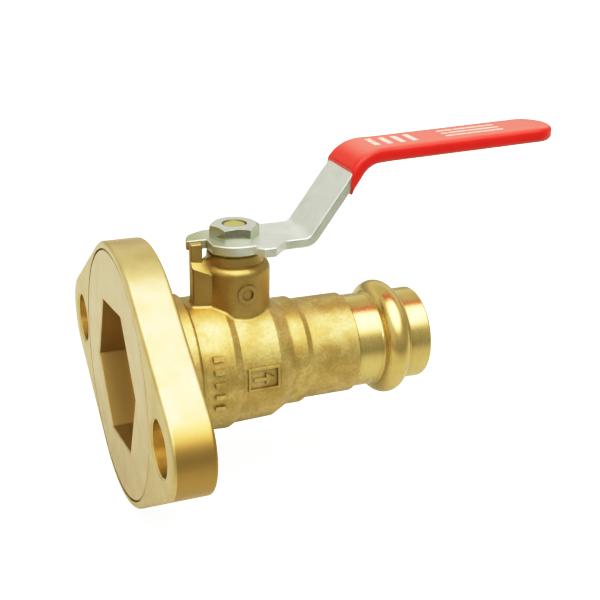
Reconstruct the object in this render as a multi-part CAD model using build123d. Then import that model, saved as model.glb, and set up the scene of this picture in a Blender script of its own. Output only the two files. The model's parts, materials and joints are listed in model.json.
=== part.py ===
from build123d import *
import os
from math import sqrt, tan, cos, sin, radians

# Swivel-flange ball valve with a press socket outlet. Millimetres.
# +X runs along the flow axis from the flange face to the press socket, +Z runs up the stem,
# and the two flange bolts lie on the Y axis. The origin is the centre of the flange's mating face.

# ---- flow passage ----
PORT_R = 9.5
STEM_X = 31.6
BALL_R = 13.8

# ---- swivel flange ----
FLANGE_T = 10.2
FLANGE_CENTRE_R = 33.9
FLANGE_LOBE_R = 12.0
BOLT_SPACING = 80.2
BOLT_HOLE_R = 6.65
FLANGE_EDGE_ROUND = 1.0
HOLE_EDGE_BREAK = 0.5
EDGE_BREAK = 0.3

# ---- tailpiece: face disc, hexagon-socket neck and threaded spigot ----
DISC_R = 31.8
DISC_T = 4.0
DISC_GAP = 0.25
NECK_R = 23.0
NECK_GAP = 0.1
NECK_END_X = 10.9
HEX_CORNER_R = 20.15
HEX_TURN_DEG = -7.1
HEX_DEPTH = 8.6
SPIGOT_R = 15.0
SPIGOT_END_X = 20.7
NOSE_R = 14.0
NOSE_END_X = 23.8
THREAD_GAP = 0.05

# ---- body barrel ----
COLLAR_R = 18.6
COLLAR_END_X = 17.2
INLET_BARREL_R = 17.45
SHOULDER_R = 17.8
MID_BARREL_R = 16.85
REAR_BARREL_R = 16.55
NECK_BARREL_R = 14.3
TUBE_SIDE_R = 13.45
MACHINED_R = 12.6
SHOULDER_X = 26.3
TAPER_X = 38.5
NECK_BARREL_X = 42.8
TUBE_SIDE_X = 46.9
MACHINED_X = 62.1
COLLAR_SLOPE = 0.7
RISE_START_X = 20.4
RISE_END_X = 25.0
SHOULDER_SLOPE = 2.0
TUBE_SIDE_SLOPE = 1.6
MACHINED_SLOPE = 0.6
COLLAR_ROUND = 0.5
SHOULDER_ROUND = 1.0
NECK_BARREL_ROUND = 2.0
TUBE_SIDE_ROUND = 0.6

# ---- press socket ----
BODY_END_X = 83.3
LIP_R = 12.5
SOCKET_R = 11.2
SOCKET_STOP_X = 60.2
MOUTH_LEAD = 0.5
BEAD_X = 73.0
BEAD_PEAK_R = 15.6
BEAD_HALF = 3.7
BEAD_FOOT_ROUND = 0.8
LIP_ROUND = 0.6
GROOVE_HALF = 3.4
GROOVE_R = 14.3
PRESS_RING_R = 12.77
PRESS_RING_SECTION_R = 1.45

# ---- seats and cavity ----
CAVITY_R = 14.1
SEAT_R = 13.0
SEAT_BORE_R = 9.6
SEAT_NEAR = 7.3
SEAT_FAR = 10.9
SEAT_POCKET_R = 13.05
SEAT_BALL_GAP = 0.02
JOINT_RING_R = 15.98
JOINT_RING_SECTION_R = 0.86
JOINT_POCKET_R = 16.95
JOINT_POCKET_DEPTH = 1.9

# ---- stem tower and stop pillar ----
TOWER_R = 9.0
TOWER_NECK_R = 7.4
TOWER_TOP_R = 7.1
TOWER_SHOULDER_Z = 25.2
TOWER_NECK_Z = 27.4
TOWER_TOP_Z = 29.6
TOWER_FOOT_Z = 10.0
PILLAR_X = 19.5
PILLAR_FRONT_Y = -3.7
PILLAR_BACK_Y = -0.2
PILLAR_ROUND = 0.5
PILLAR_END_X = 25.5
PILLAR_END_Y = -5.3
SLOPE_HIGH_Z = 28.5
SLOPE_LOW_Z = 27.2
SLOPE_END_Z = 25.6
SLOPE_RUN = 4.0
POST_FRONT_Y = -2.4
POST_END_X = 22.5
POST_TOP_Z = 33.0
POST_ROUND = 0.4
STOP_GAP = 0.05
FOOT_ROUND = 0.9

# ---- stem and its seals ----
STEM_R = 4.5
STEM_GAP = 0.05
STEM_HEAD_R = 5.6
STEM_HEAD_Z = 14.3
WASHER_Z = 16.3
WASHER_T = 1.0
TANG_BOTTOM_Z = 10.75
TANG_T = 4.9
SLOT_T = 5.0
SLOT_FLOOR_Z = 10.6
RING_GROOVE_R = 3.2
RING_GROOVE_T = 1.45
RING_SECTION_R = 0.65
RING_Z = (18.9, 21.6)
PACKING_Z = 24.0
PACKING_T = 1.3
PACKING_CHAMBER_R = 6.0
GLAND_HEAD_Z = 29.65
GLAND_HEAD_TOP_Z = 30.5
GLAND_HEX_R = 6.35

# ---- lever ----
PLATE_T = 2.5
PLATE_Z = 30.85
HUB_R = 8.95
HUB_LEFT_X = 24.2
LEVER_HALF_W = 7.7
GRIP_LEVER_HALF_W = 6.2
HUB_END_X = 28.5
FAR_TAB_X = 19.1
FAR_TAB_CURVE = ((19.6, 2.6), (21.2, 5.1), (24.0, 6.8))
NEAR_TAB_X = 38.4
NEAR_TAB_Y = -11.9
NEAR_TAB_END_X = 42.2
NEAR_TAB_SLANT = 1.4
TAB_ROUND = 0.5
TAB_FOOT_ROUND = 2.5
TAPER_ROUND = 12.0
TAPER_START_X = 58.0
TAPER_END_X = 72.0
LEVER_TIP_X = 121.1
DRIVE_R = 3.85
DRIVE_FLATS = 6.0
DRIVE_GAP = 0.05
BEND_LOW = (49.45, PLATE_Z + PLATE_T / 2)
BEND_HIGH = (64.24, 52.42)
LEVER_RISE_DEG = 2.2
BEND_LOW_R = 3.5
BEND_HIGH_R = 8.0
COAT_T = 0.75
PRESS_ROUND = 0.35
GRIP_START_X = 60.0

# ---- lever nut ----
NUT_CORNER_R = 6.35
NUT_H = 3.4
NUT_TURN_DEG = -10.0
NUT_CROWN_H = 0.5
NUT_CROWN_R = 1.0
THREAD_R = 3.15
STEM_TOP_Z = 36.5
STEM_END_BREAK = 0.5

# ---- raised marks ----
CAST_RELIEF = 0.45
BADGE_AT = (33.6, 1.0)
BADGE_W = 8.4
BADGE_H = 6.0
BADGE_LINE = 0.6
ARROW_HALF = 2.8
ARROW_HEAD = 2.4
ARROW_HEAD_HALF = 1.5
ARROW_SHAFT_HALF = 0.4
BAR_AT = (21.9, 1.5)
BAR_W = 2.6
BAR_H = 1.1
BAR_PITCH = 3.2
RING_AT = (31.9, 20.8)
RING_MARK_R = 2.5
RING_MARK_INNER_R = 1.5

# ---- a length longer than any piece ----
WELL_CLEAR = 80.0


def tube(x0, x1, outer, inner=0.0):
    """A cylinder or ring about the flow axis."""
    section = Circle(outer)
    if inner:
        section -= Circle(inner)
    return extrude(Plane.YZ.offset(x0) * section, x1 - x0)


def post(z0, z1, outer, inner=0.0):
    """A cylinder or ring about the stem axis."""
    section = Circle(outer)
    if inner:
        section -= Circle(inner)
    return extrude(Pos(STEM_X, 0, z0) * section, z1 - z0)


def span_box(low, high):
    """A box between two corners."""
    size = [b - a for a, b in zip(low, high)]
    return Pos(*low) * Box(*size, align=(Align.MIN, Align.MIN, Align.MIN))


def rounded(face, corners, radius):
    """The face with the corners nearest the given points rounded."""
    for point in corners:
        face = fillet(face.vertices().sort_by_distance((*point, 0))[0], radius)
    return face


# ------------------------------------------------------------------ body


def barrel_outline():
    """Half section of the forging's outside, from the collar to the socket's lip."""
    lip_start = BEAD_X + BEAD_HALF
    bead_foot = (BEAD_X - BEAD_HALF, MACHINED_R)
    lip_foot = (lip_start, LIP_R)
    bead = ThreePointArc(bead_foot, (BEAD_X, BEAD_PEAK_R), lip_foot)
    front = Polyline(
        (NECK_END_X, 0),
        (NECK_END_X, COLLAR_R),
        (COLLAR_END_X, COLLAR_R),
        (COLLAR_END_X + COLLAR_SLOPE, INLET_BARREL_R),
        (RISE_START_X, INLET_BARREL_R),
        (RISE_END_X, SHOULDER_R),
        (SHOULDER_X, SHOULDER_R),
        (SHOULDER_X + SHOULDER_SLOPE, MID_BARREL_R),
        (TAPER_X, REAR_BARREL_R),
        (NECK_BARREL_X, NECK_BARREL_R),
        (TUBE_SIDE_X, NECK_BARREL_R),
        (TUBE_SIDE_X + TUBE_SIDE_SLOPE, TUBE_SIDE_R),
        (MACHINED_X - MACHINED_SLOPE, TUBE_SIDE_R),
        (MACHINED_X, MACHINED_R),
        bead_foot,
    )
    back = Polyline(lip_foot, (BODY_END_X, LIP_R), (BODY_END_X, 0), (NECK_END_X, 0))
    outline = make_face(front + bead + back)
    tube_side = (TUBE_SIDE_X + TUBE_SIDE_SLOPE, TUBE_SIDE_R)
    outline = rounded(outline, [(NECK_END_X, COLLAR_R), (COLLAR_END_X, COLLAR_R)], COLLAR_ROUND)
    outline = rounded(outline, [(SHOULDER_X, SHOULDER_R), (TAPER_X, REAR_BARREL_R)], SHOULDER_ROUND)
    outline = rounded(outline, [(NECK_BARREL_X, NECK_BARREL_R)], NECK_BARREL_ROUND)
    outline = rounded(outline, [(TUBE_SIDE_X, NECK_BARREL_R), tube_side], TUBE_SIDE_ROUND)
    outline = rounded(outline, [bead_foot, lip_foot], BEAD_FOOT_ROUND)
    return rounded(outline, [(BODY_END_X, LIP_R)], LIP_ROUND)


def tower():
    """The stem tower about the stem axis, with a rounded shoulder and a slimmer neck on top."""
    shoulder_low = (TOWER_R, TOWER_SHOULDER_Z)
    shoulder_high = (TOWER_NECK_R, TOWER_NECK_Z)
    side = Polyline((0, TOWER_FOOT_Z), (TOWER_R, TOWER_FOOT_Z), shoulder_low)
    shoulder = TangentArc(shoulder_low, shoulder_high, tangent=(0, 1))
    neck = Polyline(shoulder_high, (TOWER_TOP_R, TOWER_TOP_Z), (0, TOWER_TOP_Z), (0, TOWER_FOOT_Z))
    return Pos(STEM_X, 0, 0) * revolve(Plane.XZ * make_face(side + shoulder + neck), Axis.Z)


def stop_pillar():
    """The pillar beside the tower; the slim post on its top stops the lever at both ends of its turn."""
    front_left = (PILLAR_X, PILLAR_FRONT_Y)
    front_end = (PILLAR_END_X, PILLAR_END_Y)
    back = [(PILLAR_END_X, PILLAR_BACK_Y), (PILLAR_X, PILLAR_BACK_Y)]
    plan = make_face(Polyline(front_left, front_end, *back, close=True))
    lower = extrude(Pos(0, 0, TOWER_FOOT_Z) * plan, SLOPE_HIGH_Z - TOWER_FOOT_Z)
    corners = lower.edges().filter_by(Axis.Z).group_by(Axis.X)[0]
    lower = fillet(corners, PILLAR_ROUND)
    share = SLOPE_RUN / (PILLAR_END_X - PILLAR_X)
    slope_end_y = PILLAR_FRONT_Y + share * (PILLAR_END_Y - PILLAR_FRONT_Y)
    high_left = Vector(PILLAR_X, POST_FRONT_Y, SLOPE_HIGH_Z)
    low_left = Vector(*front_left, SLOPE_LOW_Z)
    along = Vector(PILLAR_X + SLOPE_RUN, slope_end_y, SLOPE_END_Z) - low_left
    slope = Plane(origin=high_left, x_dir=along, z_dir=(low_left - high_left).cross(along))
    lower -= slope * Box(WELL_CLEAR, WELL_CLEAR, TOWER_R, align=(Align.CENTER, Align.CENTER, Align.MIN))
    post_low = (PILLAR_X, POST_FRONT_Y, TOWER_FOOT_Z)
    slim = span_box(post_low, (POST_END_X, PILLAR_BACK_Y, POST_TOP_Z))
    slim = fillet(slim.edges().group_by(Axis.Z)[-1] + slim.edges().filter_by(Axis.Z), POST_ROUND)
    return lower + slim


def arrow_outline():
    """Plan of the flow arrow, pointing along +X."""
    neck = ARROW_HALF - ARROW_HEAD
    shaft = [(-ARROW_HALF, ARROW_SHAFT_HALF), (neck, ARROW_SHAFT_HALF)]
    upper = [*shaft, (neck, ARROW_HEAD_HALF), (ARROW_HALF, 0)]
    lower = [(x, -y) for x, y in reversed(upper[:-1])]
    return make_face(Polyline(*upper, *lower, close=True))


def cast_marks():
    """Raised plain marks: a framed flow arrow, a column of bars and a ring on the tower."""
    ahead = Plane(origin=(0, 0, 0), x_dir=(1, 0, 0), z_dir=(0, -1, 0))
    frame = Rectangle(BADGE_W, BADGE_H) - Rectangle(BADGE_W - 2 * BADGE_LINE, BADGE_H - 2 * BADGE_LINE)
    badge = extrude(ahead * Pos(*BADGE_AT) * (frame + arrow_outline()), WELL_CLEAR)
    ring = extrude(ahead * Pos(*RING_AT) * (Circle(RING_MARK_R) - Circle(RING_MARK_INNER_R)), WELL_CLEAR)
    badge_left = BADGE_AT[0] - BADGE_W / 2 - 1
    skin = tube(badge_left, TAPER_X, (MID_BARREL_R + REAR_BARREL_R) / 2 + CAST_RELIEF, REAR_BARREL_R - 1)
    bar_skin = tube(RISE_START_X, RISE_END_X, SHOULDER_R + CAST_RELIEF, INLET_BARREL_R - 1)
    tower_skin = post(TOWER_FOOT_Z, TOWER_SHOULDER_Z, TOWER_R + CAST_RELIEF, TOWER_R - 1)
    marks = (badge & skin) + (ring & tower_skin)
    for step in range(-2, 3):
        at = Pos(BAR_AT[0], BAR_AT[1] + BAR_PITCH * step)
        marks += extrude(ahead * at * Rectangle(BAR_W, BAR_H), WELL_CLEAR) & bar_skin
    return marks


def body_hollows():
    """Everything machined out of the body: joint, cavity, seat pocket, port, socket and stem bore."""
    groove_low = (BEAD_X - GROOVE_HALF, SOCKET_R - 0.5)
    groove_high = (BEAD_X + GROOVE_HALF, SOCKET_R - 0.5)
    groove = ThreePointArc(groove_low, (BEAD_X, GROOVE_R), groove_high) + Line(groove_high, groove_low)
    lead_start = (BODY_END_X - MOUTH_LEAD, SOCKET_R)
    lead_end = (BODY_END_X, SOCKET_R + MOUTH_LEAD)
    lead = Polyline(lead_start, lead_end, (BODY_END_X, SOCKET_R), close=True)
    hollows = tube(NECK_END_X, NECK_END_X + JOINT_POCKET_DEPTH, JOINT_POCKET_R)
    hollows += tube(NECK_END_X, SPIGOT_END_X + 0.1, SPIGOT_R + THREAD_GAP)
    hollows += tube(SPIGOT_END_X, STEM_X + SEAT_NEAR - 0.9, CAVITY_R)
    hollows += tube(STEM_X, STEM_X + SEAT_FAR, SEAT_POCKET_R)
    hollows += tube(STEM_X, BODY_END_X, PORT_R)
    hollows += tube(SOCKET_STOP_X, BODY_END_X, SOCKET_R)
    hollows += revolve(Plane.XZ * make_face(lead), Axis.X)
    hollows += revolve(Plane.XZ * make_face(groove), Axis.X)
    hollows += post(0, WASHER_Z + WASHER_T + STEM_GAP, STEM_HEAD_R + 0.2)
    hollows += post(0, TOWER_TOP_Z, STEM_R + STEM_GAP)
    hollows += post(PACKING_Z, TOWER_TOP_Z, PACKING_CHAMBER_R)
    return hollows


def is_tower_foot(point):
    """True for the middle of an edge where the tower or pillar meets the barrel."""
    from_stem = sqrt((point.X - STEM_X) ** 2 + point.Y**2)
    on_barrel = REAR_BARREL_R - 4 < point.Z < SHOULDER_R + 2
    return on_barrel and from_stem < STEM_X - PILLAR_X + 1.5 and abs(point.Y) > 0.01


def valve_body():
    """The forged body: barrel, stem tower, stop pillar and machined press socket."""
    shell = revolve(Plane.XZ * barrel_outline(), Axis.X) + tower() + stop_pillar()
    foot_edges = [edge for edge in shell.edges() if is_tower_foot(edge.center())]
    shell = fillet(foot_edges, FOOT_ROUND) + cast_marks()
    return shell - body_hollows()


# ------------------------------------------------------------------ inlet


def tailpiece():
    """The inlet piece: face disc, neck with a hexagon socket, and the spigot that holds the inlet seat."""
    solid = tube(0, DISC_T, DISC_R)
    solid += tube(0, NECK_END_X, NECK_R)
    solid += tube(0, SPIGOT_END_X, SPIGOT_R)
    solid += tube(0, NOSE_END_X, NOSE_R)
    socket = Plane.YZ * RegularPolygon(HEX_CORNER_R, 6, rotation=HEX_TURN_DEG)
    solid -= extrude(socket, HEX_DEPTH)
    face_edges = solid.edges().filter_by_position(Axis.X, -0.01, 0.01)
    solid = chamfer(face_edges, EDGE_BREAK)
    solid -= tube(0, NOSE_END_X, PORT_R)
    solid -= tube(SPIGOT_END_X, NOSE_END_X, SEAT_POCKET_R)
    return solid


def tailpiece_oring():
    """The ring that seals the tailpiece in the body's mouth."""
    return about_flow_axis(NECK_END_X + JOINT_POCKET_DEPTH / 2, JOINT_RING_R, JOINT_RING_SECTION_R)


def about_flow_axis(x, ring_r, section_r):
    """A torus about the flow axis."""
    return Plane(origin=(x, 0, 0), z_dir=(1, 0, 0)) * Torus(ring_r, section_r)


def flange_plate():
    """The oval two-bolt outline: a round centre drawn out to two bolt lobes."""
    lobes = [Pos(side * BOLT_SPACING / 2, 0) * Circle(FLANGE_LOBE_R) for side in (-1, 1)]
    rims = Circle(FLANGE_CENTRE_R).edges() + lobes[0].edges() + lobes[1].edges()
    return make_hull(rims)


def swivel_flange():
    """The loose flange that turns about the tailpiece's neck behind its face disc."""
    plate = extrude(Plane.YZ * flange_plate(), FLANGE_T)
    outer_edges = plate.edges().filter_by_position(Axis.X, -0.01, 0.01)
    outer_edges += plate.edges().filter_by_position(Axis.X, FLANGE_T - 0.01, FLANGE_T + 0.01)
    plate = fillet(outer_edges, FLANGE_EDGE_ROUND)
    plate -= tube(0, DISC_T + DISC_GAP / 2, DISC_R + DISC_GAP)
    plate -= tube(0, FLANGE_T, NECK_R + NECK_GAP)
    for side in (-1, 1):
        hole_at = Pos(0, side * BOLT_SPACING / 2, 0)
        plate -= hole_at * tube(0, FLANGE_T, BOLT_HOLE_R)
    circles = plate.edges().filter_by(GeomType.CIRCLE)
    return chamfer([edge for edge in circles if abs(edge.radius - BOLT_HOLE_R) < 0.01], HOLE_EDGE_BREAK)


# ------------------------------------------------------------------ ball and seats


def ball():
    """The bored ball, slotted across its top for the stem's tang."""
    sphere = Pos(STEM_X, 0, 0) * Sphere(BALL_R)
    sphere -= tube(STEM_X - BALL_R, STEM_X + BALL_R, PORT_R)
    half = SLOT_T / 2
    sphere -= span_box((STEM_X - half, -BALL_R, SLOT_FLOOR_Z), (STEM_X + half, BALL_R, BALL_R + 1))
    return sphere


def seat(side):
    """A seat ring on one side of the ball, dished to fit it: side -1 is the inlet, +1 the outlet."""
    near = STEM_X + side * SEAT_NEAR
    far = STEM_X + side * SEAT_FAR
    ring = tube(min(near, far), max(near, far), SEAT_R, SEAT_BORE_R)
    along_flow = Plane(origin=(STEM_X, 0, 0), z_dir=(1, 0, 0))
    return ring - along_flow * Sphere(BALL_R + SEAT_BALL_GAP)


# ------------------------------------------------------------------ stem


def double_flats(radius, across):
    """A round section with two parallel flats."""
    return Circle(radius) & Rectangle(4 * radius, across)


def stem():
    """The stem: tang, captive head, sealed shank, flats for the lever and a threaded top."""
    tang_half_y = sqrt(STEM_HEAD_R**2 - (TANG_T / 2) ** 2) - 0.1
    tang_low = (STEM_X - TANG_T / 2, -tang_half_y, TANG_BOTTOM_Z)
    shaft = span_box(tang_low, (STEM_X + TANG_T / 2, tang_half_y, STEM_HEAD_Z))
    shaft += post(STEM_HEAD_Z, WASHER_Z, STEM_HEAD_R)
    shaft += post(WASHER_Z, PLATE_Z, STEM_R)
    for z in RING_Z:
        shaft -= post(z - RING_GROOVE_T / 2, z + RING_GROOVE_T / 2, STEM_R + 1, RING_GROOVE_R)
    flats = double_flats(DRIVE_R, DRIVE_FLATS)
    shaft += extrude(Pos(STEM_X, 0, PLATE_Z) * flats, PLATE_T - 0.1)
    threaded = post(PLATE_Z + PLATE_T - 0.1, STEM_TOP_Z, THREAD_R - THREAD_GAP)
    threaded = chamfer(threaded.edges().group_by(Axis.Z)[-1], STEM_END_BREAK)
    return shaft + threaded


def thrust_washer():
    """The washer between the stem's head and the body."""
    return post(WASHER_Z, WASHER_Z + WASHER_T, STEM_HEAD_R, STEM_R + STEM_GAP)


def stem_oring(z):
    """One of the rings in the stem's grooves."""
    return Pos(STEM_X, 0, z) * Torus(RING_GROOVE_R + RING_SECTION_R + 0.02, RING_SECTION_R)


def packing_ring(index):
    """One of the two packing rings in the tower's chamber."""
    z = PACKING_Z + index * PACKING_T
    return post(z, z + PACKING_T, PACKING_CHAMBER_R - STEM_GAP, STEM_R + STEM_GAP)


def packing_nut():
    """The gland that screws into the tower and squeezes the packing."""
    bottom = PACKING_Z + 2 * PACKING_T
    gland = post(bottom, GLAND_HEAD_TOP_Z, PACKING_CHAMBER_R - THREAD_GAP)
    head = Pos(STEM_X, 0, GLAND_HEAD_Z) * RegularPolygon(GLAND_HEX_R, 6)
    gland += extrude(head, GLAND_HEAD_TOP_Z - GLAND_HEAD_Z)
    return gland - post(bottom, GLAND_HEAD_TOP_Z, STEM_R + STEM_GAP)


# ------------------------------------------------------------------ lever


def corner_arc(before, corner, after, radius):
    """The arc that rounds the corner of a bent strip's middle line."""
    corner = Vector(corner)
    incoming = (corner - Vector(before)).normalized()
    outgoing = (Vector(after) - corner).normalized()
    half_turn = incoming.get_angle(outgoing) / 2
    reach = radius * tan(radians(half_turn))
    middle = corner + (outgoing - incoming).normalized() * (radius / cos(radians(half_turn)) - radius)
    return ThreePointArc(corner - incoming * reach, middle, corner + outgoing * reach)


def lever_middle_line(beyond_tip):
    """The lever's side view: level hub, steep riser, nearly level handle."""
    run = LEVER_TIP_X + beyond_tip - BEND_HIGH[0]
    start = (PILLAR_X - 1, BEND_LOW[1])
    tip = (BEND_HIGH[0] + run, BEND_HIGH[1] + run * tan(radians(LEVER_RISE_DEG)))
    low = corner_arc(start, BEND_LOW, BEND_HIGH, BEND_LOW_R)
    high = corner_arc(BEND_LOW, BEND_HIGH, tip, BEND_HIGH_R)
    return Line(start, low @ 0) + low + Line(low @ 1, high @ 0) + high + Line(high @ 1, tip)


def bent_strip(thickness, beyond_tip=0.0):
    """A wide strip of the given thickness that follows the lever's middle line."""
    section = trace(lever_middle_line(beyond_tip), thickness)
    return extrude(Plane.XZ * section, WELL_CLEAR, both=True)


def hub_outline():
    """Plan of the lever: a reduced hub with a stop shoulder on either side, then the tapering handle."""
    back_stop_y = PILLAR_BACK_Y + STOP_GAP
    front_stop_x = STEM_X - POST_FRONT_Y + STOP_GAP
    hub_front = (front_stop_x, -sqrt(HUB_R**2 - (front_stop_x - STEM_X) ** 2))
    hub_left = (HUB_LEFT_X, -sqrt(HUB_R**2 - (HUB_LEFT_X - STEM_X) ** 2))
    hub_mid = (STEM_X, -HUB_R)
    hub = ThreePointArc(hub_front, hub_mid, hub_left)
    far_stop = Polyline(hub_left, (HUB_LEFT_X, back_stop_y), (FAR_TAB_X, back_stop_y))
    tab_points = ((FAR_TAB_X, back_stop_y), *FAR_TAB_CURVE, (HUB_END_X, LEVER_HALF_W))
    far_tab = Spline(*tab_points, tangents=((0, 1), (1, 0)))
    tip_centre = LEVER_TIP_X - GRIP_LEVER_HALF_W
    far_side = Polyline(
        (HUB_END_X, LEVER_HALF_W),
        (TAPER_START_X, LEVER_HALF_W),
        (TAPER_END_X, GRIP_LEVER_HALF_W),
        (tip_centre, GRIP_LEVER_HALF_W),
    )
    tip = ThreePointArc((tip_centre, GRIP_LEVER_HALF_W), (LEVER_TIP_X, 0), (tip_centre, -GRIP_LEVER_HALF_W))
    near_side = Polyline(
        (tip_centre, -GRIP_LEVER_HALF_W),
        (TAPER_END_X, -GRIP_LEVER_HALF_W),
        (TAPER_START_X, -LEVER_HALF_W),
        (NEAR_TAB_END_X, -LEVER_HALF_W),
        (NEAR_TAB_X, NEAR_TAB_Y),
        (front_stop_x + NEAR_TAB_SLANT, NEAR_TAB_Y),
        (front_stop_x, NEAR_TAB_Y + NEAR_TAB_SLANT),
        hub_front,
    )
    outline = make_face(hub + far_stop + far_tab + far_side + tip + near_side)
    tab_corners = [
        (NEAR_TAB_X, NEAR_TAB_Y),
        (front_stop_x + NEAR_TAB_SLANT, NEAR_TAB_Y),
        (front_stop_x, NEAR_TAB_Y + NEAR_TAB_SLANT),
        (FAR_TAB_X, back_stop_y),
        (HUB_LEFT_X, back_stop_y),
    ]
    outline = rounded(outline, tab_corners, TAB_ROUND)
    outline = rounded(outline, [(NEAR_TAB_END_X, -LEVER_HALF_W)], TAB_FOOT_ROUND)
    for side in (-1, 1):
        taper = [(TAPER_START_X, side * LEVER_HALF_W), (TAPER_END_X, side * GRIP_LEVER_HALF_W)]
        outline = rounded(outline, taper, TAPER_ROUND)
    return outline


def crosses_plate(edge):
    """True for an edge through the plate's thickness, or a bend's line from one side to the other."""
    run = edge @ 1 - edge @ 0
    bend_line = edge.length > LEVER_HALF_W and abs(run.Y) > 0.99 * edge.length
    through = edge.length < PLATE_T + 0.1 and abs(run.Z) > 0.5 * edge.length
    return through or (bend_line and edge.geom_type == GeomType.LINE)


def lever_plate():
    """The pressed steel lever."""
    plate = bent_strip(PLATE_T) & extrude(hub_outline(), WELL_CLEAR)
    plate = fillet([edge for edge in plate.edges() if not crosses_plate(edge)], PRESS_ROUND)
    hole = double_flats(DRIVE_R + DRIVE_GAP, DRIVE_FLATS + 2 * DRIVE_GAP)
    return plate - extrude(Pos(STEM_X, 0, PLATE_Z - 1) * hole, PLATE_T + 2)


def lever_grip():
    """The dipped sleeve over the handle, its edge square to the flow axis."""
    plan = offset(hub_outline(), COAT_T)
    beyond = span_box((GRIP_START_X, -LEVER_TIP_X, 0), (LEVER_TIP_X + WELL_CLEAR, LEVER_TIP_X, WELL_CLEAR))
    sleeve = bent_strip(PLATE_T + 2 * COAT_T, 2 * COAT_T) & extrude(plan, WELL_CLEAR) & beyond
    return sleeve - lever_plate()


def lever_nut():
    """The nut that clamps the lever on the stem, with its top corners turned off."""
    z = PLATE_Z + PLATE_T
    hexagon = RegularPolygon(NUT_CORNER_R, 6, rotation=NUT_TURN_DEG)
    blank = extrude(Pos(STEM_X, 0, z) * hexagon, NUT_H)
    dome = post(z - 1, z + NUT_H, NUT_CORNER_R + 0.1)
    dome = chamfer(dome.edges().group_by(Axis.Z)[-1], NUT_CROWN_H, NUT_CROWN_R)
    return (blank & dome) - post(z, z + NUT_H, THREAD_R)


def press_oring():
    """The sealing ring in the press socket's bead."""
    return about_flow_axis(BEAD_X, PRESS_RING_R, PRESS_RING_SECTION_R)


PARTS = {
    "valve_body": valve_body,
    "tailpiece": tailpiece,
    "tailpiece_oring": tailpiece_oring,
    "swivel_flange": swivel_flange,
    "inlet_seat": lambda: seat(-1),
    "outlet_seat": lambda: seat(1),
    "ball": ball,
    "stem": stem,
    "stem_thrust_washer": thrust_washer,
    "stem_oring_lower": lambda: stem_oring(RING_Z[0]),
    "stem_oring_upper": lambda: stem_oring(RING_Z[1]),
    "packing_ring_lower": lambda: packing_ring(0),
    "packing_ring_upper": lambda: packing_ring(1),
    "packing_nut": packing_nut,
    "lever_plate": lever_plate,
    "lever_grip": lever_grip,
    "lever_nut": lever_nut,
    "press_oring": press_oring,
}

os.makedirs("parts", exist_ok=True)
for name, make in PARTS.items():
    export_step(make(), f"parts/{name}.step")
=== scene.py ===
"""Looks for a flanged ball valve: forged and machined brass, a plated steel lever, a dipped vinyl grip."""
import json
import math

import bmesh
import bpy
from mathutils import Matrix, Vector, noise


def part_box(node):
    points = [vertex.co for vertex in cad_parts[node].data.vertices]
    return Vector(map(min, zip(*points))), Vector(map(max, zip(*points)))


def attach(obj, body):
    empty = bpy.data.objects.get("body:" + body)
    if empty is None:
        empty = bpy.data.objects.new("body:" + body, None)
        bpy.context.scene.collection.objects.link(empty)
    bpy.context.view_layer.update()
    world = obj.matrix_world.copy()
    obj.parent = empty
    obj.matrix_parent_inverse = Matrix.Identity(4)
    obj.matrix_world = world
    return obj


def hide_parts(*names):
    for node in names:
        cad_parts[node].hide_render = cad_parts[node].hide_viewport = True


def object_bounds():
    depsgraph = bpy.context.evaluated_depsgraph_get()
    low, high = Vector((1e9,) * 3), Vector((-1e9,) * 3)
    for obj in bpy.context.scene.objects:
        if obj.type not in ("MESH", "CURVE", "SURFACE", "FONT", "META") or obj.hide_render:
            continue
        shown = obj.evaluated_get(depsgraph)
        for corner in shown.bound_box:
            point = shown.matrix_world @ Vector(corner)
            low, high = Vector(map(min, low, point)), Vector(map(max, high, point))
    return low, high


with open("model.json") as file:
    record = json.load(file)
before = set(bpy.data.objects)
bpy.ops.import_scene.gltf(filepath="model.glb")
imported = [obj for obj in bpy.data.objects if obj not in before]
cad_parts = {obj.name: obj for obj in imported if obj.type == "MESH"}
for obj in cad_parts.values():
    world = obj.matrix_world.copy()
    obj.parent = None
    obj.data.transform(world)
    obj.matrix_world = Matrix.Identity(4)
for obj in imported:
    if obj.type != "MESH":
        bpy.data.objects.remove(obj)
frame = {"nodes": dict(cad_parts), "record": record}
cad_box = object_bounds()
nodes = frame["nodes"]

MM = 0.001

# ---- places read from the frame ----
FLOOR_Z = cad_box[0].z
LEVER_END_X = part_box("lever_plate")[1].x
GRIP_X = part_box("lever_grip")[0].x
BOLTS = next(mount["dims"] for mount in frame["record"]["mounts"] if mount["name"] == "flange_bolts")

# ---- where finishes and painted shade change ----
MACHINED_X = 62.1 * MM
MACHINED_SOFT = 0.3 * MM
WATERWAY_R = 12.0 * MM
TOWER_Z = (13.0 * MM, 18.0 * MM)
POCKET_X = 0.35 * MM
POCKET_R = 20.3 * MM
HOLE_Y = BOLTS["spacing_x_mm"] / 2 * MM
HOLE_R = (BOLTS["hole_r_mm"] + 0.1) * MM
RIM_X = 0.8 * MM
LOBE_Y = (45.5 * MM, 50.5 * MM)
LEVER_HEEL_X = (20.0 * MM, 33.0 * MM)

# ---- lever's middle line under the grip ----
BEND_LOW = Vector((49.45, 0.0, 32.1)) * MM
BEND_HIGH = Vector((64.24, 0.0, 52.42)) * MM
RISE = math.radians(2.2)
BEND_R = 8.0 * MM
PLATE_HALF_T = 1.25 * MM
PLATE_EDGE_R = 0.35 * MM

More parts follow.
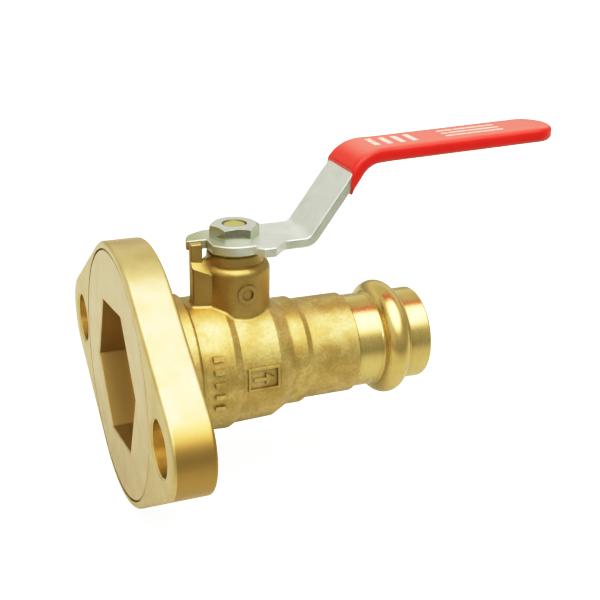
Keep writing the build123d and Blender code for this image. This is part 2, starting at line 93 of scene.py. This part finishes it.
# ---- grip ----
COAT_T = 0.75 * MM
COAT_GAP = 0.01 * MM
GRIP_EDGE_R = 1.55 * MM
TIP_R = 6.2 * MM
TIP_X = LEVER_END_X - TIP_R
WIDE_HALF = 7.7 * MM
TAPER = (58.0 * MM, 72.0 * MM)
TAPER_CURVE = 0.4
LIP_ROLL = 0.3 * MM
LUMP_SIZE = 7.0 * MM
LUMP_DEPTH = 0.06 * MM
EDGE_STEPS = 7
ACROSS_STEPS = 12
RISER_STEPS = 5
BEND_STEPS = 22
HANDLE_STEPS = 44
TIP_STEPS = 18
LIP_STEPS = 6

# ---- print on the grip ----
BARS_X = 69.0 * MM
BAR_PITCH = 3.6 * MM
BAR_HALF = 0.75 * MM
BAR_REACH = 3.3 * MM
BAR_COUNT = 4
ROWS_X = 97.5 * MM
ROWS_HALF = 8.5 * MM
ROW_PITCH = 2.6 * MM
ROW_HALF = 0.45 * MM
ROWS_REACH = 3.4 * MM
PRINT_SOFT = 0.1 * MM

# ---- colours ----
SKIN = ((200, 173, 108), (228, 208, 148))
SKIN_SPECK = (150, 112, 52)
SKIN_GRIT = (174, 134, 68)
# painted shade on the tower
TOWER_SHADE = (188, 155, 92)
# painted shade with some grime, for corners and gaps
CREASE_GRIME_AND_SHADE = (118, 82, 34)
TURNED = ((222, 194, 128), (232, 208, 146))
FLANGE = ((214, 188, 132), (226, 203, 152))
FACE = ((218, 194, 150), (230, 208, 168))
WEAR = (178, 146, 84)
# painted shade on the flange's lobe ends
LOBE_SHADE = (186, 150, 84)
HOLE = (238, 216, 160)
# painted shade inside the hexagon recess
POCKET_SHADE = (190, 160, 104)
STEM = ((218, 206, 142), (236, 226, 170))
STEEL = ((230, 233, 227), (242, 245, 239))
STEEL_PITS = (160, 163, 152)
STEEL_HEEL = (186, 184, 158)
NUT = ((226, 229, 222), (244, 246, 242))
# painted shade on the nut's flats
NUT_SIDE_SHADE = (172, 175, 166)
CHROME = ((222, 225, 228), (240, 242, 244))
PLASTIC = ((226, 226, 220), (242, 242, 238))
RUBBER = ((22, 22, 23), (44, 44, 46))
RED = ((228, 16, 28), (238, 24, 36))
# painted sheen on the grip's top
RED_TOP_SHEEN = (255, 190, 184)
PRINT = (246, 236, 226)

LACQUER = {"Coat Weight": 1.0, "Coat Roughness": 0.45}
VINYL = {"IOR": 1.5, "Coat Weight": 0.25, "Coat Roughness": 0.25}
WAXY = {"Subsurface Weight": 0.15, "Subsurface Scale": 0.001}

# ---- light tent: brightness of each side, and the heights or slopes over which it changes ----
ROOF = 3.0
ROOF_TILT = (0, -0.4, 0.917)
ROOF_EDGE = (0.72, 0.88)
FRONT_WALL = 0.41
BACK_WALL = (0.2, 0.82)
BACK_HEIGHT = 0.45
BACK_TOP_SHARE = 0.72
BACK_TOP_HEIGHT = 0.75
LEFT_WALL = 0.72
LEFT_TURN = (-0.85, -0.35)
BACKDROP = 1.7
TENT_TINT = (1.0, 0.995, 0.98, 1)

# ---- floor ----
FLOOR_HALF = 6.0
FLOOR_DROP = 0.2 * MM
FLOOR_NEAR = 60.0 * MM
FLOOR_FAR = 190.0 * MM
FLOOR_TONES = ((0.57, 0.57, 0.56, 1), (0.61, 0.61, 0.6, 1))
FLOOR_FRONT = (0.2, 0.2, 0.2, 1)
FLOOR_GLOW = 1.2

# ---- camera ----
CAMERA_PLACE = Vector((-52.375, -245.149, 119.362)) * MM
CAMERA_AZIMUTH = math.radians(247.383)
CAMERA_ELEVATION = math.radians(21.707)
CAMERA_ROLL = math.radians(1.108)
LENS = 65.12
SENSOR = 36.0

# ---- picture's contrast curve: light before, value shown ----
CURVE_WHITE = 1.6
CURVE = ((0.1, 0.08), (0.3, 0.29), (0.6, 0.63), (1.0, 0.88))
BLUE_CURVE = ((0.08, 0.056), (0.3, 0.265), (0.65, 0.64))


# ------------------------------------------------------------------ material kit


class Surface:
    """One procedural material: a principled shader and the nodes that drive it. Lengths are in metres."""

    def __init__(self, name):
        self.material = bpy.data.materials.new(name)
        self.material.use_nodes = True
        self.tree = self.material.node_tree
        self.tree.nodes.clear()
        output = self.tree.nodes.new("ShaderNodeOutputMaterial")
        self.shader = self.tree.nodes.new("ShaderNodeBsdfPrincipled")
        self.tree.links.new(self.shader.outputs[0], output.inputs[0])
        self.place = self.tree.nodes.new("ShaderNodeTexCoord").outputs["Object"]
        split = self.node("ShaderNodeSeparateXYZ", {0: self.place})
        self.x, self.y, self.z = split.outputs
        self.from_axis = self.distance(self.y, self.z)
        self.normal = None

    def node(self, kind, inputs=None, **settings):
        """A node with its settings and its inputs, each a value or another node's output."""
        made = self.tree.nodes.new(kind)
        for key, value in settings.items():
            setattr(made, key, value)
        for key, value in (inputs or {}).items():
            if isinstance(value, bpy.types.NodeSocket):
                self.tree.links.new(value, made.inputs[key])
            else:
                made.inputs[key].default_value = value
        return made

    def calc(self, operation, a, b=0.0, c=0.0):
        """Arithmetic on values or outputs."""
        return self.node("ShaderNodeMath", {0: a, 1: b, 2: c}, operation=operation).outputs[0]

    def distance(self, a, b):
        """The length of a vector with these two parts."""
        square = self.calc("ADD", self.calc("MULTIPLY", a, a), self.calc("MULTIPLY", b, b))
        return self.calc("SQRT", square)

    def ease(self, value, low, high, to_low=0.0, to_high=1.0):
        """Smoothly maps low..high to to_low..to_high."""
        inputs = {0: value, 1: low, 2: high, 3: to_low, 4: to_high}
        return self.node("ShaderNodeMapRange", inputs, interpolation_type="SMOOTHSTEP").outputs[0]

    def noise(self, size, detail=4.0, roughness=0.55, stretch=(1, 1, 1), shift=0.0):
        """Cloudy noise, 0 to 1, whose blobs are about the given size, times stretch along each axis."""
        scaled = self.node(
            "ShaderNodeMapping",
            {"Vector": self.place, "Location": (shift, shift, shift), "Scale": tuple(1 / s for s in stretch)},
        ).outputs[0]
        inputs = {"Vector": scaled, "Scale": 1 / size, "Detail": detail, "Roughness": roughness}
        return self.node("ShaderNodeTexNoise", inputs).outputs[0]

    def facing_up(self):
        """The upward share of the surface's direction: 1 on level tops, 0 on upright faces."""
        normal = self.node("ShaderNodeNewGeometry").outputs["Normal"]
        return self.node("ShaderNodeSeparateXYZ", {0: normal}).outputs[2]

    def band(self, value, centre, half, soft):
        """1 where value is within half of centre, falling to 0 over soft."""
        away = self.calc("ABSOLUTE", self.calc("SUBTRACT", value, centre))
        return self.ease(away, half, half + soft, 1.0, 0.0)

    def mix(self, share, a, b):
        """Blends two colours."""
        return self.node("ShaderNodeMix", {0: share, 6: a, 7: b}, data_type="RGBA").outputs[2]

    def blend(self, share, a, b):
        """Blends two values."""
        return self.node("ShaderNodeMix", {0: share, 2: a, 3: b}).outputs[0]

    def tones(self, share, pair):
        """From the first of a pair of display colours to the second."""
        return self.mix(share, rgb(*pair[0]), rgb(*pair[1]))

    def tint(self, share, colour, towards):
        """Pulls a colour towards a display colour."""
        return self.mix(share, colour, rgb(*towards))

    def grime_and_shade_in_creases(self, colour, reach, share):
        """Painted shade with some grime: darkens the colour in corners and gaps that other metal comes within
        reach of.
        """
        open_share = self.node("ShaderNodeAmbientOcclusion", {"Distance": reach}, samples=4).outputs["AO"]
        return self.tint(self.ease(open_share, 0.45, 0.95, share, 0.0), colour, CREASE_GRIME_AND_SHADE)

    def emboss(self, height, depth):
        """Adds relief of the given depth to the surface's normal."""
        inputs = {"Height": height, "Distance": depth, "Strength": 1.0}
        if self.normal is not None:
            inputs["Normal"] = self.normal
        self.normal = self.node("ShaderNodeBump", inputs).outputs[0]

    def finish(self, colour, metallic, roughness, **more):
        """Sets the shader's inputs and returns the material."""
        settings = {"Base Color": colour, "Metallic": metallic, "Roughness": roughness, **more}
        if self.normal is not None:
            settings["Normal"] = self.normal
        for key, value in settings.items():
            if isinstance(value, bpy.types.NodeSocket):
                self.tree.links.new(value, self.shader.inputs[key])
            else:
                self.shader.inputs[key].default_value = value
        return self.material


def rgb(red, green, blue):
    """A display colour, 0 to 255, as the linear colour that shaders take."""
    def linear(value):
        value /= 255
        return value / 12.92 if value <= 0.04045 else ((value + 0.055) / 1.055) ** 2.4

    return (linear(red), linear(green), linear(blue), 1.0)


# ------------------------------------------------------------------ metals


def forged_brass():
    """The body: tumbled forging skin, painted shade browning the tower, a turned socket end and hollows, and
    painted shade with some grime in its corners.
    """
    s = Surface("forged_brass")
    socket_end = s.ease(s.x, MACHINED_X - MACHINED_SOFT, MACHINED_X)
    turned = s.calc("MAXIMUM", socket_end, s.calc("LESS_THAN", s.from_axis, WATERWAY_R))
    skin_share = s.calc("SUBTRACT", 1.0, turned)

    cloud = s.noise(6 * MM, detail=4)
    grain = s.noise(0.4 * MM, detail=4, roughness=0.6)
    speck = s.noise(0.8 * MM, detail=3, shift=3.1)
    grit = s.noise(0.7 * MM, detail=3, shift=12.0)
    skin = s.tones(s.ease(cloud, 0.36, 0.64), SKIN)
    skin = s.tint(s.ease(grit, 0.35, 0.65, 0.3, 0.0), skin, SKIN_GRIT)
    skin = s.tint(s.ease(speck, 0.6, 0.78, 0.0, 0.2), skin, SKIN_SPECK)
    # painted shade: the skin turns browner from 13 mm up, on the tower
    skin = s.tint(s.ease(s.z, *TOWER_Z, 0.0, 0.75), skin, TOWER_SHADE)
    bright = s.tones(s.ease(cloud, 0.3, 0.7), TURNED)
    colour = s.grime_and_shade_in_creases(s.mix(turned, skin, bright), 1.6 * MM, 0.75)

    lines = s.noise(0.22 * MM, detail=2, stretch=(1, 60, 60))
    smoother_tower = s.ease(s.z, *TOWER_Z, 0.0, 0.12)
    skin_rough = s.calc("SUBTRACT", s.ease(grain, 0.3, 0.7, 0.46, 0.56), smoother_tower)
    turned_rough = s.ease(lines, 0.3, 0.7, 0.25, 0.28)
    dents = s.noise(2.6 * MM, detail=2, shift=7.7)
    s.emboss(s.calc("MULTIPLY", grain, skin_share), 0.03 * MM)
    s.emboss(s.calc("MULTIPLY", dents, skin_share), 0.045 * MM)
    s.emboss(s.calc("MULTIPLY", lines, turned), 0.0003 * MM)
    return s.finish(colour, 1.0, s.blend(turned, skin_rough, turned_rough), **LACQUER)


def satin_brass(name, tones):
    """Machined brass with a matt, fine-grained skin, and the values that its finish starts from."""
    s = Surface(name)
    cloud = s.noise(7 * MM, detail=3)
    grain = s.noise(0.3 * MM, detail=4, roughness=0.6)
    wear = s.noise(1.3 * MM, detail=4, shift=5.0)
    colour = s.tones(s.ease(cloud, 0.3, 0.7), tones)
    colour = s.tint(s.ease(wear, 0.6, 0.8, 0.0, 0.2), colour, WEAR)
    s.emboss(grain, 0.018 * MM)
    return s, colour, s.ease(grain, 0.3, 0.7, 0.36, 0.46)


def face_brass():
    """The tailpiece: turning marks round the flow axis, painted shade inside the hexagon recess, and painted
    shade with some grime in its corners.
    """
    s, colour, roughness = satin_brass("machined_brass", FACE)
    sunk = s.calc("GREATER_THAN", s.x, POCKET_X)
    pocket_shade = s.calc("MULTIPLY", sunk, s.calc("LESS_THAN", s.from_axis, POCKET_R))
    # painted shade: darker inside the hexagon recess
    colour = s.tint(pocket_shade, colour, POCKET_SHADE)
    ring = s.calc("SINE", s.calc("MULTIPLY", s.from_axis, 2 * math.pi / (0.32 * MM)))
    s.emboss(ring, 0.0012 * MM)
    return s.finish(s.grime_and_shade_in_creases(colour, 0.8 * MM, 0.8), 1.0, roughness, **LACQUER)


def flange_brass():
    """The flange: painted shade darkening the lobe ends, painted shade with some grime in its corners, and
    smooth drilled holes.
    """
    s, colour, roughness = satin_brass("flange_brass", FLANGE)
    across = s.calc("ABSOLUTE", s.y)
    bored = s.calc("LESS_THAN", s.distance(s.calc("SUBTRACT", across, HOLE_Y), s.z), HOLE_R)
    # painted shade: darker on the lobe ends, off the face
    lobe_shade = s.calc("MULTIPLY", s.calc("GREATER_THAN", s.x, RIM_X), s.ease(across, *LOBE_Y))
    colour = s.tint(bored, s.tint(lobe_shade, colour, LOBE_SHADE), HOLE)
    return s.finish(s.grime_and_shade_in_creases(colour, 0.8 * MM, 0.8), 1.0, s.blend(bored, roughness, 0.25), **LACQUER)


def stem_brass():
    """Turned bar brass."""
    s = Surface("stem_brass")
    lines = s.noise(0.1 * MM, detail=2, stretch=(40, 40, 1))
    colour = s.tones(s.noise(1.5 * MM), STEM)
    s.emboss(lines, 0.004 * MM)
    return s.finish(colour, 1.0, s.ease(lines, 0.3, 0.7, 0.24, 0.36))


def plated_steel():
    """The lever: rolled steel, pressed and then zinc plated to a pale satin grey, darker towards its heel."""
    s = Surface("lever_steel")
    rolled = s.noise(0.18 * MM, detail=3, stretch=(14, 1, 1))
    cloud = s.noise(6 * MM, detail=4)
    pits = s.noise(0.8 * MM, detail=3, shift=2.0)
    colour = s.tones(s.ease(cloud, 0.3, 0.7), STEEL)
    colour = s.tint(s.ease(pits, 0.64, 0.78, 0.0, 0.3), colour, STEEL_PITS)
    # darker towards the heel
    colour = s.tint(s.ease(s.x, *LEVER_HEEL_X, 0.8, 0.0), colour, STEEL_HEEL)
    s.emboss(rolled, 0.004 * MM)
    s.emboss(pits, 0.008 * MM)
    return s.finish(colour, 0.9, s.ease(rolled, 0.3, 0.7, 0.36, 0.46))


def zinc_nut():
    """Zinc plate on the lever nut, with painted shade darkening its upright flats."""
    s = Surface("nut_zinc")
    cloud = s.noise(1.2 * MM, detail=4)
    colour = s.tones(cloud, NUT)
    # painted shade: the more upright the face, the darker
    colour = s.tint(s.ease(s.facing_up(), 0.1, 0.7, 0.8, 0.0), colour, NUT_SIDE_SHADE)
    s.emboss(s.noise(0.25 * MM, detail=3), 0.004 * MM)
    return s.finish(colour, 1.0, s.ease(cloud, 0.3, 0.7, 0.16, 0.26))


def chrome():
    """Hard chrome on the ball, lapped bright."""
    s = Surface("ball_chrome")
    haze = s.noise(3 * MM, detail=5)
    s.emboss(s.noise(0.3 * MM, detail=3), 0.0008 * MM)
    return s.finish(s.tones(haze, CHROME), 1.0, s.ease(haze, 0.3, 0.7, 0.05, 0.12))


# ------------------------------------------------------------------ soft materials


def seat_plastic():
    """White fluoropolymer of the seats, washer and packing."""
    s = Surface("seat_plastic")
    cloud = s.noise(2 * MM, detail=4)
    s.emboss(s.noise(0.2 * MM, detail=3), 0.003 * MM)
    return s.finish(s.tones(cloud, PLASTIC), 0.0, s.ease(cloud, 0.3, 0.7, 0.35, 0.5), **WAXY)


def seal_rubber():
    """Black rubber of the rings."""
    s = Surface("seal_rubber")
    bloom = s.noise(1.6 * MM, detail=5)
    s.emboss(s.noise(0.15 * MM, detail=3), 0.002 * MM)
    colour = s.tones(s.ease(bloom, 0.4, 0.7), RUBBER)
    return s.finish(colour, 0.0, s.ease(bloom, 0.3, 0.7, 0.42, 0.6))


def printed_bars(s):
    """The share of worn white print at each place: short bars across the grip, then long ones along it."""
    step = s.calc("PINGPONG", s.calc("SUBTRACT", s.x, BARS_X), BAR_PITCH / 2)
    zone = s.band(s.x, BARS_X + (BAR_COUNT - 1) / 2 * BAR_PITCH, BAR_COUNT / 2 * BAR_PITCH, 0.0001 * MM)
    bars = s.calc("MULTIPLY", s.band(step, 0.0, BAR_HALF, PRINT_SOFT), zone)
    bars = s.calc("MULTIPLY", bars, s.band(s.y, 0.0, BAR_REACH, PRINT_SOFT))
    row = s.calc("PINGPONG", s.y, ROW_PITCH / 2)
    rows = s.band(row, 0.0, ROW_HALF, PRINT_SOFT)
    rows = s.calc("MULTIPLY", rows, s.band(s.y, 0.0, ROWS_REACH, PRINT_SOFT))
    rows = s.calc("MULTIPLY", rows, s.band(s.x, ROWS_X, ROWS_HALF, PRINT_SOFT))
    middle = s.calc("MULTIPLY_ADD", s.x, math.tan(RISE), BEND_HIGH.z - BEND_HIGH.x * math.tan(RISE))
    top = s.calc("GREATER_THAN", s.z, s.calc("ADD", middle, PLATE_HALF_T + 0.2 * MM))
    worn = s.ease(s.noise(1.1 * MM, detail=5, roughness=0.7, shift=9.0), 0.34, 0.5)
    return s.calc("MULTIPLY", s.calc("MAXIMUM", bars, rows), s.calc("MULTIPLY", top, worn))


def grip_vinyl():
    """Dipped red vinyl, softly glossy with a painted sheen on its top, with plain bars printed on it."""
    s = Surface("grip_vinyl")
    cloud = s.noise(8 * MM, detail=3)
    fine = s.noise(0.5 * MM, detail=3)
    red = s.tones(s.ease(cloud, 0.3, 0.7), RED)
    # painted sheen: upward-facing vinyl is tinted paler
    red = s.tint(s.ease(s.facing_up(), 0.7, 0.99, 0.0, 0.27), red, RED_TOP_SHEEN)
    colour = s.tint(s.calc("MULTIPLY", printed_bars(s), 0.88), red, PRINT)
    s.emboss(s.noise(4.0 * MM, detail=2, shift=4.0), 0.04 * MM)
    s.emboss(fine, 0.003 * MM)
    return s.finish(colour, 0.0, s.ease(fine, 0.3, 0.7, 0.3, 0.38), **VINYL)


MATERIALS = {
    "forged_brass": forged_brass(),
    "flange_brass": flange_brass(),
    "machined_brass": face_brass(),
    "stem_brass": stem_brass(),
    "ball_chrome": chrome(),
    "seat_plastic": seat_plastic(),
    "seal_rubber": seal_rubber(),
    "lever_steel": plated_steel(),
    "nut_zinc": zinc_nut(),
    "grip_vinyl": grip_vinyl(),
}

for part in frame["record"]["subparts"]:
    nodes[part["node"]].material_slots[0].material = MATERIALS[part["material_slot"]]


# ------------------------------------------------------------------ grip


def linked(name, data):
    """A new object in the scene."""
    made = bpy.data.objects.new(name, data)
    bpy.context.scene.collection.objects.link(made)
    return made


def half_width(x, coat):
    """Half the lever's width at x, with the given coat on it."""
    share = min(1.0, max(0.0, (x - TAPER[0]) / (TAPER[1] - TAPER[0])))
    eased = share * share * (3 - 2 * share) * TAPER_CURVE + share * (1 - TAPER_CURVE)
    return WIDE_HALF + (TIP_R - WIDE_HALF) * eased + coat


def section(half_t, edge_r):
    """Points round the sleeve's section: (share of the flat, corner, offset along the plate's normal)."""
    points = []
    for up in (1, -1):
        for k in range(ACROSS_STEPS + 1):
            share = 2 * k / ACROSS_STEPS - 1
            points.append((share * up, 0.0, half_t * up))
        for k in range(1, EDGE_STEPS):
            angle = math.pi / 2 * k / EDGE_STEPS
            points.append((up, edge_r * math.sin(angle), up * (half_t - edge_r + edge_r * math.cos(angle))))
        for level in (1, 0, -1):
            points.append((up, edge_r, up * level * (half_t - edge_r)))
        for k in range(EDGE_STEPS - 1, 0, -1):
            angle = math.pi / 2 * k / EDGE_STEPS
            points.append((up, edge_r * math.sin(angle), -up * (half_t - edge_r + edge_r * math.cos(angle))))
    return points


def along_lever(station, offset):
    """The point that far off the lever's middle line; station is (part, share) of riser, bend or handle."""
    part, share = station
    climb = (BEND_HIGH - BEND_LOW).normalized()
    steep = math.atan2(climb.z, climb.x)
    reach = BEND_R * math.tan((steep - RISE) / 2)
    normal = Vector((-math.sin(steep), 0, math.cos(steep)))
    bend_start = BEND_HIGH - climb * reach
    centre = bend_start - normal * BEND_R
    if part == "riser":
        low = bend_start + normal * offset
        back = climb * ((low.x - GRIP_X) / climb.x)
        return low - back * (1 - share)
    angle = steep + (RISE - steep) * (share if part == "bend" else 1.0)
    turned = centre + Vector((-math.sin(angle), 0, math.cos(angle))) * (BEND_R + offset)
    if part == "bend":
        return turned
    handle = Vector((math.cos(RISE), 0, math.sin(RISE)))
    length = (TIP_X - turned.x) / handle.x
    return turned + handle * length * share


def ring(points, station, coat, edge_r, sweep=0.0):
    """One ring of the sleeve's wall; sweep turns its sides round the tip, 0 to a right angle."""
    made = []
    for share, corner, offset in points:
        place = along_lever(station, offset)
        flat = half_width(place.x, coat) - edge_r
        side = share * flat + math.copysign(corner, share)
        made.append(place + Vector((abs(side) * math.sin(sweep), side * math.cos(sweep), 0)))
    return made


def wall(points, coat, edge_r):
    """The rings of one wall, from the sleeve's opening to its tip."""
    stations = [("riser", k / RISER_STEPS) for k in range(RISER_STEPS)]
    stations += [("bend", k / BEND_STEPS) for k in range(BEND_STEPS + 1)]
    stations += [("handle", k / HANDLE_STEPS) for k in range(1, HANDLE_STEPS + 1)]
    rings = [ring(points, station, coat, edge_r) for station in stations]
    turns = [math.pi / 2 * k / TIP_STEPS for k in range(1, TIP_STEPS + 1)]
    return rings + [ring(points, ("handle", 1.0), coat, edge_r, turn) for turn in turns]


def rolled_lip(inner, outer):
    """The loops that join the inner wall to the outer one round the sleeve's opening."""
    loops = []
    for k in range(1, LIP_STEPS):
        angle = math.pi * k / LIP_STEPS
        loop = [near.lerp(far, (1 - math.cos(angle)) / 2) for near, far in zip(inner, outer)]
        for at in loop:
            at.x = GRIP_X + LIP_ROLL * (1 - math.sin(angle))
        loops.append(loop)
    return loops


def swept_grip():
    """The vinyl sleeve: an even coat over the handle with a rolled lip and softly uneven sides."""
    inner = wall(section(PLATE_HALF_T + COAT_GAP, PLATE_EDGE_R), COAT_GAP, PLATE_EDGE_R)
    outer = wall(section(PLATE_HALF_T + COAT_T, GRIP_EDGE_R), COAT_T, GRIP_EDGE_R)
    lip = rolled_lip(inner[0], outer[0])
    for at in inner[0] + outer[0]:
        at.x = GRIP_X + LIP_ROLL
    for loop in outer[1:]:
        for at in loop:
            lump = noise.noise(at / LUMP_SIZE) * LUMP_DEPTH
            at.y += math.copysign(lump, at.y) if abs(at.y) > 2 * MM else 0.0

    mesh = bmesh.new()
    rows = []
    for loop in list(reversed(inner)) + lip + outer:
        rows.append([mesh.verts.new(at) for at in loop])
    count = len(rows[0])
    for low, high in zip(rows, rows[1:]):
        for k in range(count):
            after = (k + 1) % count
            mesh.faces.new((low[k], low[after], high[after], high[k]))
    bmesh.ops.remove_doubles(mesh, verts=mesh.verts, dist=0.002 * MM)
    bmesh.ops.recalc_face_normals(mesh, faces=mesh.faces)
    data = bpy.data.meshes.new("grip_sleeve")
    mesh.to_mesh(data)
    mesh.free()
    for face in data.polygons:
        face.use_smooth = True
    made = linked("grip_sleeve", data)
    data.materials.append(MATERIALS["grip_vinyl"])
    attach(made, "lever")
    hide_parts("lever_grip")


swept_grip()


# ------------------------------------------------------------------ stage


def floor():
    """A wide pale floor that the flange's edge stands on; its front is darker to all but the camera."""
    mesh = bpy.data.meshes.new("floor")
    z = FLOOR_Z - FLOOR_DROP
    corners = [(x * FLOOR_HALF, y * FLOOR_HALF, z) for x, y in ((-1, -1), (1, -1), (1, 1), (-1, 1))]
    mesh.from_pydata(corners, [], [(0, 1, 2, 3)])
    made = linked("floor", mesh)
    s = Surface("floor")
    seen = s.node("ShaderNodeLightPath").outputs["Is Camera Ray"]
    near = s.ease(s.distance(s.x, s.y), FLOOR_NEAR, FLOOR_FAR, 1.0, 0.0)
    front = s.ease(s.y, -FLOOR_FAR, 0.0, 1.0, 0.0)
    dim = s.calc("MULTIPLY", front, s.calc("SUBTRACT", 1.0, near))
    lit = s.mix(s.noise(120 * MM, detail=3), *FLOOR_TONES)
    colour = s.mix(s.calc("MULTIPLY", dim, s.calc("SUBTRACT", 1.0, seen)), lit, FLOOR_FRONT)
    glow = {"Emission Color": (1, 1, 1, 1), "Emission Strength": s.calc("MULTIPLY", seen, FLOOR_GLOW)}
    mesh.materials.append(s.finish(colour, 0.0, 0.9, **glow, **{"Specular IOR Level": 0.2}))


def surroundings():
    """A light tent: bright roof tilted to the front, pale back and left walls, a darker front."""
    world = bpy.data.worlds.new("studio")
    bpy.context.scene.world = world
    world.use_nodes = True
    tree = world.node_tree
    tree.nodes.clear()

    def node(kind, inputs, **settings):
        made = tree.nodes.new(kind)
        for key, value in settings.items():
            setattr(made, key, value)
        for key, value in inputs.items():
            if isinstance(value, bpy.types.NodeSocket):
                tree.links.new(value, made.inputs[key])
            else:
                made.inputs[key].default_value = value
        return made

    def ease(value, low, high, to_low, to_high):
        inputs = {0: value, 1: low, 2: high, 3: to_low, 4: to_high}
        return node("ShaderNodeMapRange", inputs, interpolation_type="SMOOTHSTEP").outputs[0]

    def blend(share, a, b):
        return node("ShaderNodeMix", {0: share, 2: a, 3: b}).outputs[0]

    direction = node("ShaderNodeTexCoord", {}).outputs["Generated"]
    x, y, z = node("ShaderNodeSeparateXYZ", {0: direction}).outputs
    back_wall = ease(z, 0.0, BACK_HEIGHT, *BACK_WALL)
    fade = ease(z, BACK_HEIGHT, BACK_TOP_HEIGHT, 1.0, BACK_TOP_SHARE)
    back_wall = node("ShaderNodeMath", {0: back_wall, 1: fade}, operation="MULTIPLY").outputs[0]
    wall = blend(ease(y, -0.35, 0.35, 0.0, 1.0), FRONT_WALL, back_wall)
    wall = blend(ease(x, *LEFT_TURN, 1.0, 0.0), wall, LEFT_WALL)
    towards_roof = node("ShaderNodeVectorMath", {0: direction, 1: ROOF_TILT}, operation="DOT_PRODUCT")
    lit = blend(ease(towards_roof.outputs["Value"], *ROOF_EDGE, 0.0, 1.0), wall, ROOF)
    seen = node("ShaderNodeLightPath", {}).outputs["Is Camera Ray"]
    back = node("ShaderNodeBackground", {0: TENT_TINT, 1: blend(seen, lit, BACKDROP)})
    output = tree.nodes.new("ShaderNodeOutputWorld")
    tree.links.new(back.outputs[0], output.inputs[0])


def camera():
    """The viewing place: left of the flange's face, a little above, with a long lens."""
    data = bpy.data.cameras.new("camera")
    data.lens = LENS
    data.sensor_width = SENSOR
    data.clip_start, data.clip_end = 0.01, 20
    made = linked("camera", data)
    outward = Vector((math.cos(CAMERA_AZIMUTH), math.sin(CAMERA_AZIMUTH), math.tan(CAMERA_ELEVATION)))
    turn = outward.to_track_quat("Z", "Y").to_matrix().to_4x4() @ Matrix.Rotation(CAMERA_ROLL, 4, "Z")
    made.matrix_world = Matrix.Translation(CAMERA_PLACE) @ turn
    bpy.context.scene.camera = made


def picture_contrast():
    """A gentle S curve: deeper shadows and soft highlights, with a little less blue in the shadows."""
    view = bpy.context.scene.view_settings
    view.view_transform = "Standard"
    view.use_curve_mapping = True
    curves = view.curve_mapping
    curves.white_level = (CURVE_WHITE, CURVE_WHITE, CURVE_WHITE)
    for light, shown in CURVE:
        curves.curves[3].points.new(light / CURVE_WHITE, shown)
    for before, after in BLUE_CURVE:
        curves.curves[2].points.new(before, after)
    curves.update()


floor()
surroundings()
camera()
picture_contrast()
